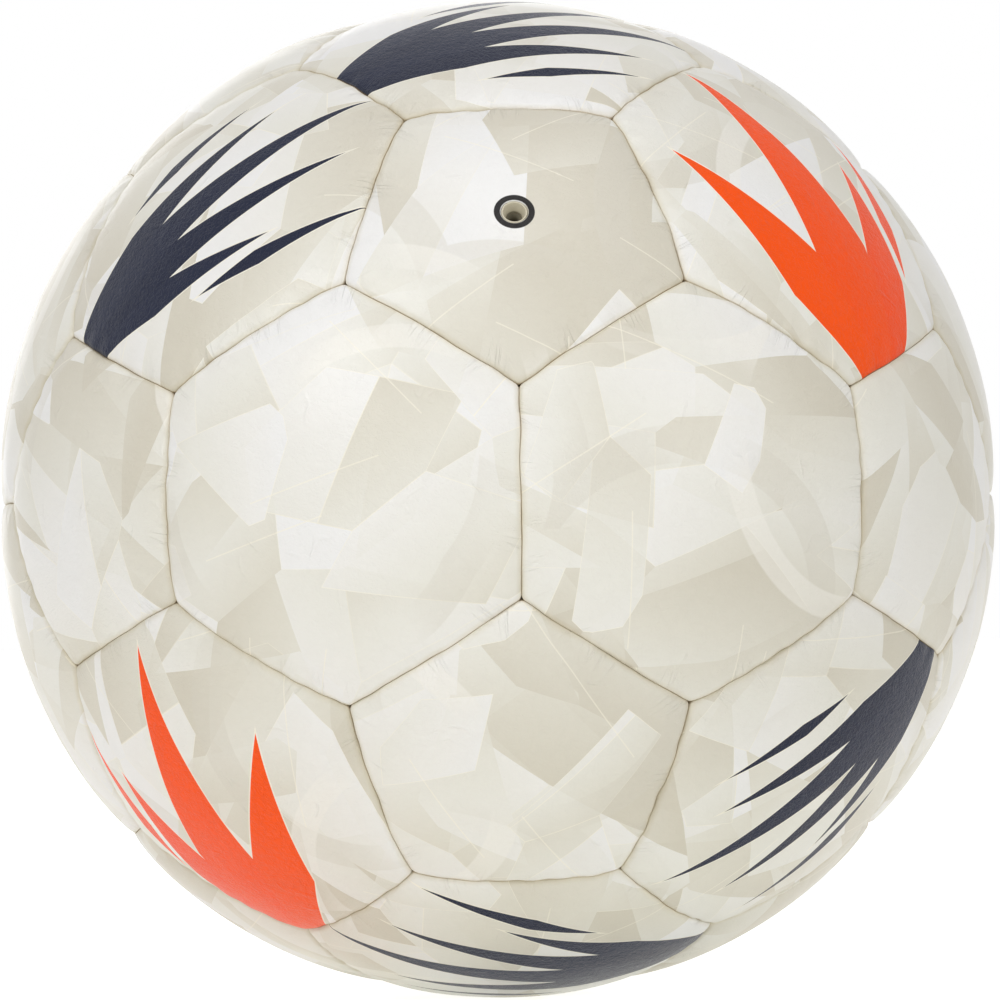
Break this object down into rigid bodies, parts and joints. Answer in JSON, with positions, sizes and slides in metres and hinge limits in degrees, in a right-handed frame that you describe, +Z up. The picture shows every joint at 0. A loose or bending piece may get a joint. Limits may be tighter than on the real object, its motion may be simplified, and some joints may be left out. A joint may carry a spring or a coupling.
{
  "type": "handball",
  "caption": "Hand-stitched handball: crowned hexagon and pentagon panels with rolled, turned-in edges over foam and linings, round a bladder with a needle valve in the front panel.",
  "frame": {"origin": "centre of the ball", "axes": "+Z up and -Y to the front as the ball is pictured, each along a line that joins the middles of two opposite hexagon-hexagon seams; the valve lies in the YZ plane, at the front and 31.7 degrees above the level of the centre"},
  "size_m": [0.174, 0.174, 0.174],
  "materials": {
    "panel_skin": "pearly white coated skin with a fine grain and a print of pale straight-edged facets, with red-orange and navy accents, satin",
    "foam": "closed-cell foam, matt",
    "lining": "woven cotton and polyester lining, matt",
    "thread": "waxed twisted polyester thread",
    "bladder": "natural latex, smooth with a slight bloom",
    "valve_housing": "moulded pale rubber, matt",
    "valve_core": "moulded grey rubber, lightly oiled"
  },
  "bodies": {
    "root": {"hexagon_panel_01": "panel_skin", "hexagon_panel_02": "panel_skin", "hexagon_panel_03": "panel_skin", "hexagon_panel_04": "panel_skin", "hexagon_panel_05": "panel_skin", "hexagon_panel_06": "panel_skin", "hexagon_panel_07": "panel_skin", "hexagon_panel_08": "panel_skin", "hexagon_panel_09": "panel_skin", "hexagon_panel_10": "panel_skin", "hexagon_panel_11": "panel_skin", "hexagon_panel_12": "panel_skin", "hexagon_panel_13": "panel_skin", "hexagon_panel_14": "panel_skin", "hexagon_panel_15": "panel_skin", "hexagon_panel_16": "panel_skin", "hexagon_panel_17": "panel_skin", "hexagon_panel_18": "panel_skin", "hexagon_panel_19": "panel_skin", "hexagon_panel_20": "panel_skin", "pentagon_panel_01": "panel_skin", "pentagon_panel_02": "panel_skin", "pentagon_panel_03": "panel_skin", "valve_panel": "panel_skin", "pentagon_panel_05": "panel_skin", "pentagon_panel_06": "panel_skin", "pentagon_panel_07": "panel_skin", "pentagon_panel_08": "panel_skin", "pentagon_panel_09": "panel_skin", "pentagon_panel_10": "panel_skin", "pentagon_panel_11": "panel_skin", "pentagon_panel_12": "panel_skin", "hexagon_foam_pads": "foam", "pentagon_foam_pads": "foam", "hexagon_linings": "lining", "pentagon_linings": "lining", "hexagon_seam_threads": "thread", "pentagon_seam_threads": "thread", "bladder": "bladder", "valve_housing": "valve_housing", "valve_core": "valve_core"}
  },
  "joints": []
}
